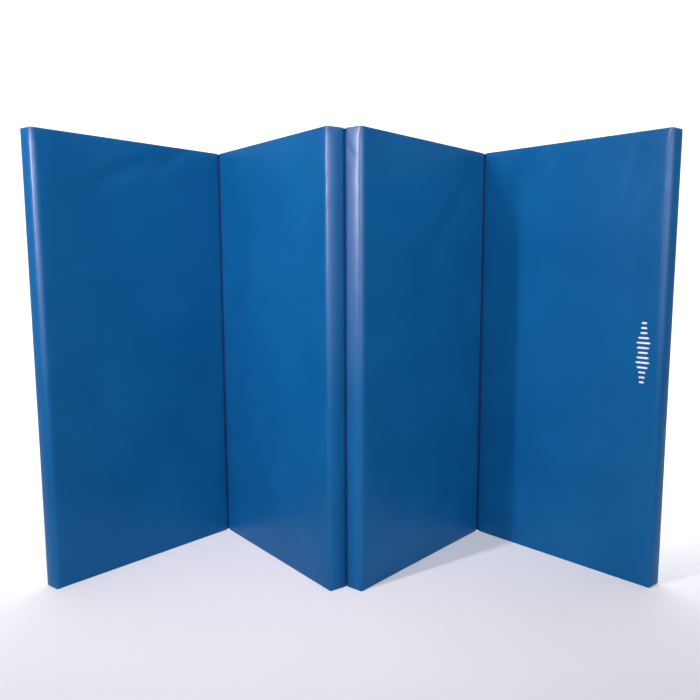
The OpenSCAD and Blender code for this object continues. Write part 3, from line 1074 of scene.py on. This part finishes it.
def row_tree():
    tree = bpy.data.node_groups.new("row_of_things", "GeometryNodeTree")
    for name, kind in ROW_INPUTS.items():
        tree.interface.new_socket(name, in_out="INPUT", socket_type=f"NodeSocket{kind}")
    tree.interface.new_socket("Row", in_out="OUTPUT", socket_type="NodeSocketGeometry")
    add, link = tree.nodes.new, tree.links.new
    given, done = add("NodeGroupInput"), add("NodeGroupOutput")
    curve, even = add("GeometryNodeMeshToCurve"), add("GeometryNodeResampleCurve")
    even.mode = "LENGTH"
    link(given.outputs["Line"], curve.inputs[0])
    link(curve.outputs[0], even.inputs["Curve"])
    link(given.outputs["Spacing"], even.inputs["Length"])
    out = add("GeometryNodeInputNamedAttribute")
    out.data_type = "FLOAT_VECTOR"
    out.inputs["Name"].default_value = "out"
    stand, turn = add("FunctionNodeAlignRotationToVector"), add("FunctionNodeAlignRotationToVector")
    stand.axis, turn.axis, turn.pivot_axis = "Z", "X", "Z"
    link(out.outputs["Attribute"], stand.inputs["Vector"])
    link(stand.outputs["Rotation"], turn.inputs["Rotation"])
    link(add("GeometryNodeInputTangent").outputs["Tangent"], turn.inputs["Vector"])
    chance, minus = add("FunctionNodeRandomValue"), add("ShaderNodeMath")
    minus.operation = "MULTIPLY"
    minus.inputs[1].default_value = -1
    link(given.outputs["Wobble"], minus.inputs[0])
    link(minus.outputs[0], chance.inputs[2])
    link(given.outputs["Wobble"], chance.inputs[3])
    link(given.outputs["Seed"], chance.inputs["Seed"])
    spin, both = add("FunctionNodeAxisAngleToRotation"), add("FunctionNodeRotateRotation")
    both.rotation_space = "LOCAL"
    link(chance.outputs[1], spin.inputs["Angle"])
    link(turn.outputs["Rotation"], both.inputs["Rotation"])
    link(spin.outputs["Rotation"], both.inputs["Rotate By"])
    thing, placed = add("GeometryNodeObjectInfo"), add("GeometryNodeInstanceOnPoints")
    link(given.outputs["Thing"], thing.inputs["Object"])
    link(even.outputs["Curve"], placed.inputs["Points"])
    link(thing.outputs["Geometry"], placed.inputs["Instance"])
    link(both.outputs["Rotation"], placed.inputs["Rotation"])
    real, finish = add("GeometryNodeRealizeInstances"), add("GeometryNodeSetMaterial")
    link(placed.outputs["Instances"], real.inputs["Geometry"])
    link(real.outputs["Geometry"], finish.inputs["Geometry"])
    link(given.outputs["Finish"], finish.inputs["Material"])
    link(finish.outputs["Geometry"], done.inputs["Row"])
    return tree


ROW_TREE = row_tree()


def row_of(name, thing, lines, spacing, finish, wobble=0.0, seed=1):
    """One plain mesh of things along lines. Each line is (points, outward directions) in the row frame."""
    points = np.vstack([p for p, _ in lines])
    outs = np.vstack([o for _, o in lines])
    starts = np.cumsum([0] + [len(p) for p, _ in lines])
    edges = [(i, i + 1) for a, b in zip(starts, starts[1:]) for i in range(a, b - 1)]
    mesh = bpy.data.meshes.new(name)
    mesh.from_pydata(points.tolist(), edges, [])
    mesh.attributes.new("out", "FLOAT_VECTOR", "POINT").data.foreach_set("vector", outs.ravel())
    row = bpy.data.objects.new(name, mesh)
    bpy.context.scene.collection.objects.link(row)
    nodes = row.modifiers.new("row", "NODES")
    nodes.node_group = ROW_TREE
    given = {"Thing": thing, "Spacing": spacing, "Wobble": wobble, "Seed": seed, "Finish": finish}
    for socket in ROW_TREE.interface.items_tree:
        if socket.in_out == "INPUT" and socket.name in given:
            nodes[socket.identifier] = given[socket.name]
    shown = row.evaluated_get(bpy.context.evaluated_depsgraph_get())
    made = bpy.data.meshes.new_from_object(shown)
    row.modifiers.clear()
    row.data = made
    made.polygons.foreach_set("use_smooth", [True] * len(made.polygons))
    return row


def tube(path, radius, sides, flat_normal=(0, 1, 0)):
    """Points and faces of a closed tube along a path that lies in a plane."""
    path = np.array(path, float)
    across = np.array(flat_normal, float)
    step = np.gradient(path, axis=0)
    step /= np.linalg.norm(step, axis=1, keepdims=True)
    up = np.cross(step, across)
    turn = 2 * math.pi * np.arange(sides) / sides
    c, s = np.cos(turn)[:, None], np.sin(turn)[:, None]
    rings = [p + radius * (c * across + s * u) for p, u in zip(path, up)]
    last = (len(path) - 1) * sides
    caps = [tuple(range(sides)), tuple(reversed(range(last, last + sides)))]
    return np.vstack(rings), ring_faces(len(path), sides) + caps


def joined(parts):
    """Several (points, faces) as one."""
    points, faces, start = [], [], 0
    for p, f in parts:
        points.append(p)
        faces += [tuple(i + start for i in face) for face in f]
        start += len(p)
    return np.vstack(points), faces


def thing_of(name, parts, material):
    """A small thing to repeat. It is hidden and is only there for rows to copy."""
    thing = new_piece(name, *joined(parts), material)
    thing.hide_render = True
    return thing


print("row tree has", len(ROW_TREE.nodes), "nodes")

# %% [markdown]
# ## Stitches
# Bonded polyester thread, a little darker than the vinyl, holds the webs and the zip tapes. Every stitch
# is a low arch that dives into the vinyl at both ends. The lines are found by casting rays at the
# finished covers, so they follow every crease.

# %% Stitches
STITCH_STEP = 4.6 * MM
STITCH_ARCH = [(-1.7, 0, -0.30), (-1.1, 0, 0.10), (0, 0, 0.20), (1.1, 0, 0.10), (1.7, 0, -0.30)]
THREAD_R = 0.3 * MM
HINGE_STITCH_IN = 6 * MM
ZIP_STITCH_OUT = 4 * MM
STITCH_END, STITCH_PROBE = 9 * MM, 8 * MM


def thread_finish():
    made, tree, shader, place = start_material("thread")
    twist = texture(tree, "ShaderNodeTexNoise", place, Scale=1800.0, Detail=2.0)
    tree.links.new(add_bump(tree, twist.outputs["Fac"], 0.0001), shader.inputs["Normal"])
    colour = blend_colours(tree, twist.outputs["Fac"], (0.006, 0.05, 0.17), (0.012, 0.085, 0.26))
    tree.links.new(colour, shader.inputs["Base Color"])
    shader.inputs["Roughness"].default_value = 0.6
    return made


THREAD = thread_finish()
stitch = thing_of("stitch", [tube(np.array(STITCH_ARCH) * MM, THREAD_R, 5)], THREAD)


def on_surface(tree, points, towards):
    """Points and outward directions where rays meet a sheet's outer face."""
    found, outs = [], []
    way = Vector(towards)
    for point in points:
        hit, normal, _, _ = tree.ray_cast(Vector(point) - way * 0.05, way)
        if hit is None:
            continue
        found.append(hit)
        outs.append(-normal if normal.dot(way) > 0 else normal)
    return found, outs


def in_row_frame(number, found, outs):
    place = PLACE[number]
    turn = place.to_3x3()
    return np.array([place @ p for p in found]), np.array([turn @ o for o in outs])


def hinge_stitches(number, on_back):
    """The line beside a hinge seam, on the face that the fold closes over."""
    heights = between([STITCH_END, PANEL_H - STITCH_END], STITCH_PROBE)
    if on_back:
        sheet, x, y, way = BACK, HINGE_STITCH_IN, PANEL_T, (0, -1, 0)
    else:
        sheet, x, y, way = FRONT, PANEL_W - HINGE_STITCH_IN, 0, (0, 1, 0)
    return in_row_frame(number, *on_surface(outsides[number][sheet], [(x, y, z) for z in heights], way))


def zip_stitches(number):
    """A line right round the zip's opening."""
    half = ZIP_HALF + ZIP_STITCH_OUT
    low, high = ZIP_INSET - ZIP_STITCH_OUT, PANEL_H - ZIP_INSET + ZIP_STITCH_OUT
    left, right = ZIP_CENTRE - half, ZIP_CENTRE + half
    up = between([low, high], STITCH_PROBE)
    path = [(left, z) for z in up] + [(right, z) for z in reversed(up)] + [(left, low)]
    points = [(PANEL_W, y, z) for y, z in path]
    return in_row_frame(number, *on_surface(outsides[number][BACK], points, (-1, 0, 0)))


def add_stitches(number):
    lines = [hinge_stitches(number, False), zip_stitches(number)]
    if number in (2, 3):
        lines.append(hinge_stitches(number, True))
    row = row_of(f"panel_{number}_stitches", stitch, lines, STITCH_STEP, THREAD, wobble=0.05, seed=number)
    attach(row, f"panel_{number}")
    return len(row.data.polygons)


print("stitch faces", [add_stitches(number) for number in PANELS])

# %% [markdown]
# ## Zips
# A nylon coil zip closes each cover at the end that the fold hides. Two coils of bent wire hook into
# each other: seen from outside they are two columns of short bars, half a step apart. The woven tape and
# the metal stops keep their CAD shape, which is already true; only their finish is added.

# %% Zip coils
TAPE_FACE = PANEL_W - 0.8 * MM
COIL_STEP = 2.4 * MM
COIL_LOW = ZIP_INSET + 6 * MM
COIL_BAR = [(-3.1, 0.15), (-3.2, 0.9), (-2.5, 1.4), (-0.9, 1.45), (0.5, 1.2), (0.6, 0.5)]
COIL_WIRE_R = 0.46 * MM


def tape_finish():
    made, tree, shader, place = start_material("woven_tape")
    ribs = texture(tree, "ShaderNodeTexWave", place, Scale=420.0)
    ribs.bands_direction = "Z"
    tree.links.new(add_bump(tree, ribs.outputs["Fac"], 0.0002), shader.inputs["Normal"])
    colour = blend_colours(tree, ribs.outputs["Fac"], (0.004, 0.022, 0.08), (0.007, 0.04, 0.14))
    tree.links.new(colour, shader.inputs["Base Color"])
    shader.inputs["Roughness"].default_value = 0.8
    return made


def metal_finish(name, colour, dull, roughness):
    made, tree, shader, place = start_material(name)
    wear_and_sheen = texture(tree, "ShaderNodeTexNoise", place, Scale=600.0, Detail=5.0)
    tree.links.new(blend_colours(tree, wear_and_sheen.outputs["Fac"], colour, dull), shader.inputs["Base Color"])
    tree.links.new(stretch(tree, wear_and_sheen.outputs["Fac"], 0.3, 0.7, roughness - 0.06, roughness + 0.1),
                   shader.inputs["Roughness"])
    shader.inputs["Metallic"].default_value = 1.0
    return made


TAPE = tape_finish()
STEEL = metal_finish("dull_steel", (0.55, 0.55, 0.56), (0.42, 0.42, 0.44), 0.35)
NICKEL = metal_finish("nickel", (0.66, 0.64, 0.60), (0.50, 0.48, 0.45), 0.24)
GUNMETAL = metal_finish("gunmetal", (0.16, 0.16, 0.17), (0.10, 0.10, 0.11), 0.38)
COIL_NYLON = plain_material("coil_nylon", (0.010, 0.045, 0.14), 0.42)


def coil_bars():
    """Two hooked bars, one from each side, half a step apart."""
    left = [(0, y, z) for y, z in COIL_BAR]
    right = [(COIL_STEP / MM / 2, -y, z) for y, z in COIL_BAR]
    return [tube(np.array(path) * MM, COIL_WIRE_R, 5, (1, 0, 0)) for path in (left, right)]


coil_pair = thing_of("coil_pair", coil_bars(), COIL_NYLON)


def add_coil(number):
    low, high = COIL_LOW, PANEL_H - COIL_LOW - COIL_STEP / 2
    ends = [Vector((TAPE_FACE, ZIP_CENTRE, z)) for z in (low + 0.6 * MM, high)]
    line = in_row_frame(number, ends, [Vector((1, 0, 0))] * 2)
    coil = row_of(f"panel_{number}_coil", coil_pair, [line], COIL_STEP, COIL_NYLON)
    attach(coil, f"panel_{number}")
    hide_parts(f"panel_{number}_zip_coil")
    return len(coil.data.polygons)


def finish_node(name, material):
    data = frame["nodes"][name].data
    data.materials.clear()
    data.materials.append(material)


print("coil faces", [add_coil(number) for number in PANELS])
for number in PANELS:
    finish_node(f"panel_{number}_zip_tape", TAPE)
    finish_node(f"panel_{number}_zip_stops", STEEL)
    finish_node(f"panel_{number}_eyelet_washers", STEEL)
for thing in (stitch, coil_pair):
    bpy.data.objects.remove(thing)

# %% [markdown]
# ## Sliders
# A die-cast slider is a plate with a split nose, two flanges that close over the coil, a low bridge and
# a flat pull tab that hangs from it. Each part is an outline with a chamfered edge, made by stacking
# rings. It keeps under three millimetres above the panel's end, because opposite sliders face each
# other when the fold is flat.

# %% Sliders
SLIDER_LOW = COIL_LOW + 0.1 * MM
PLATE = [(-4.6, 1.0), (-4.0, 0.0), (4.0, 0.0), (4.6, 1.0), (4.7, 6.5), (4.4, 9.5), (3.4, 12.6), (1.6, 14.0),
         (0.0, 13.2), (-1.6, 14.0), (-3.4, 12.6), (-4.4, 9.5), (-4.7, 6.5)]
FLANGE_SIDE, FLANGE = 4.1, [(-0.6, 0.6), (0.6, 0.6), (0.6, 10.5), (-0.6, 10.5)]
BRIDGE = [(1.8, 0, 4.2), (2.5, 0, 4.4), (2.7, 0, 5.2), (2.7, 0, 10.0), (2.5, 0, 10.8), (1.8, 0, 11.0)]
BRIDGE_R = 0.22
TAB_LEN, TAB_HALF, TAB_SIDES, TAB_SQUARE = 24.0, 2.7, 28, 0.45
TAB_OUT, TAB_HUNG_AT = 2.03, 8.5


def drawn_in(outline, amount):
    """An outline pulled towards its own middle line by an amount."""
    outline = np.array(outline, float)
    step = np.roll(outline, -1, axis=0) - np.roll(outline, 1, axis=0)
    step /= np.linalg.norm(step, axis=1, keepdims=True)
    return outline + amount * np.column_stack([-step[:, 1], step[:, 0]])


def stacked(outline, low, high, edge):
    """A closed slab of an outline in y and z, with chamfers, between two distances from the panel's end."""
    outline = np.array(outline, float)
    levels = [(low, edge), (low + edge, 0), (high - edge, 0), (high, edge)]
    rings = [np.column_stack([np.full(len(outline), x), drawn_in(outline, pull)]) for x, pull in levels]
    n, last = len(outline), (len(levels) - 1) * len(outline)
    caps = [tuple(reversed(range(n))), tuple(range(last, last + n))]
    return np.vstack(rings), turned_over(ring_faces(len(levels), n)) + caps


def pull_tab():
    """A long flat ring whose upper end passes under the bridge."""
    turn = 2 * math.pi * np.arange(TAB_SIDES) / TAB_SIDES
    long = np.sign(np.sin(turn)) * np.abs(np.sin(turn)) ** TAB_SQUARE * TAB_LEN / 2
    wide = np.sign(np.cos(turn)) * np.abs(np.cos(turn)) ** TAB_SQUARE * TAB_HALF
    outer = np.column_stack([wide, long])
    hole = np.column_stack([wide * 0.42, long * 0.70])
    levels = [(0.0, outer * 0.96), (0.12, outer), (0.30, outer), (0.42, outer * 0.96),
              (0.42, hole * 1.04), (0.30, hole), (0.12, hole), (0.0, hole * 1.04)]
    rings = [np.column_stack([np.full(TAB_SIDES, x), ring]) for x, ring in levels]
    faces = turned_over(ring_faces(len(levels), TAB_SIDES, closed=True))
    return np.vstack(rings) + (TAB_OUT, 0, TAB_HUNG_AT - TAB_LEN / 2), faces


def add_slider(number):
    flanges = [stacked([(side + y, z) for y, z in FLANGE], -0.65, 1.3, 0.15)
               for side in (-FLANGE_SIDE, FLANGE_SIDE)]
    plate = stacked(PLATE, 1.2, 2.0, 0.2)
    points, faces = joined([plate, *flanges, tube(BRIDGE, BRIDGE_R, 8), pull_tab()])
    points = points * MM + (PANEL_W, ZIP_CENTRE, SLIDER_LOW)
    slider = new_piece(f"slider_{number}_cast", points, faces, GUNMETAL, PLACE[number], smooth=False)
    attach(slider, f"slider_{number}")
    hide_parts(f"panel_{number}_zip_slider")


for number in PANELS:
    add_slider(number)
print("sliders made")

# %% [markdown]
# ## Eyelets
# The air vents are pressed nickel eyelets: a rolled flange outside, a barrel through the vinyl and a
# washer behind. A turned profile, swept round the vent's axis, gives the roll its highlight.

# %% Eyelets
EYELET = [(2.6, -1.3), (2.6, 0.15), (2.85, 0.55), (3.5, 0.8), (4.4, 0.75), (5.1, 0.45),
          (5.5, 0.05), (5.3, -0.02), (4.4, 0.25), (3.6, 0.3), (3.15, 0.05), (3.05, -1.3)]
EYELET_SIDES = 40


def turned(profile, sides):
    """A closed profile of (radius, height) swept round the x axis."""
    turn = 2 * math.pi * np.arange(sides) / sides
    rings = [np.column_stack([np.full(sides, h), r * np.cos(turn), r * np.sin(turn)]) for r, h in profile]
    return np.vstack(rings), turned_over(ring_faces(len(profile), sides, closed=True))


def add_eyelets(number):
    shape, faces = turned(EYELET, EYELET_SIDES)
    pair = [(shape * MM + (PANEL_W, ZIP_CENTRE, z), faces) for z in VENT_HEIGHTS]
    eyelets = new_piece(f"panel_{number}_vents", *joined(pair), NICKEL, PLACE[number])
    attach(eyelets, f"panel_{number}")
    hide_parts(f"panel_{number}_eyelets")


for number in PANELS:
    add_eyelets(number)
print("eyelets made")

# %% [markdown]
# ## The printed mark
# Makers screen a small white mark near a panel's free edge. This one is a plain stand-in: a column of
# short bars that swell and taper. Each bar is a film of ink laid on the cover's own surface.

# %% Print
PRINT_PANEL = 4
PRINT_MIDDLE = (52 * MM, 0.643)
PRINT_BARS, PRINT_HIGH = 13, 172 * MM
PRINT_LONG, BAR_HIGH = 46 * MM, 5.2 * MM
BAR_COLS, BAR_ROWS = 17, 4
INK_OVER, INK_THICK = 0.16 * MM, 0.1 * MM


def ink_finish():
    made, tree, shader, place = start_material("screen_ink")
    worn = texture(tree, "ShaderNodeTexNoise", place, Scale=160.0, Detail=6.0)
    colour = blend_colours(tree, stretch(tree, worn.outputs["Fac"], 0.35, 0.6, 0, 1), (0.62, 0.68, 0.78),
                           (0.82, 0.84, 0.88))
    tree.links.new(colour, shader.inputs["Base Color"])
    shader.inputs["Roughness"].default_value = 0.5
    return made


def ink_bar(middle_z, long, high):
    """One bar as a small grid with rounded ends, on the front sheet."""
    across = np.linspace(-1, 1, BAR_COLS)
    up = np.linspace(-1, 1, BAR_ROWS)
    spots = [(PRINT_MIDDLE[0] + a * long / 2, 0, middle_z + b * high / 2 * (1 - abs(a) ** 6) ** 0.5)
             for b in up for a in across * 0.999]
    found, outs = on_surface(outsides[PRINT_PANEL][FRONT], spots, (0, 1, 0))
    points = np.array([p + o * INK_OVER for p, o in zip(found, outs)])
    starts = [r * BAR_COLS + c for r in range(BAR_ROWS - 1) for c in range(BAR_COLS - 1)]
    quads = np.array([(i, i + 1, i + BAR_COLS + 1, i + BAR_COLS) for i in starts])
    return thickened(points, quads, INK_THICK)


def add_print():
    bars = []
    for i in range(PRINT_BARS):
        t = (i + 0.5) / PRINT_BARS
        swell = math.sin(math.pi * t) ** 1.4 * (0.75 + 0.25 * math.cos(6 * math.pi * t))
        long = PRINT_LONG * (0.28 + 0.72 * swell)
        bars.append(ink_bar(PRINT_MIDDLE[1] + (t - 0.5) * PRINT_HIGH, long, BAR_HIGH))
    mark = new_piece(f"panel_{PRINT_PANEL}_print", *joined(bars), ink_finish(), PLACE[PRINT_PANEL])
    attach(mark, f"panel_{PRINT_PANEL}")


add_print()
print("print laid on panel", PRINT_PANEL)
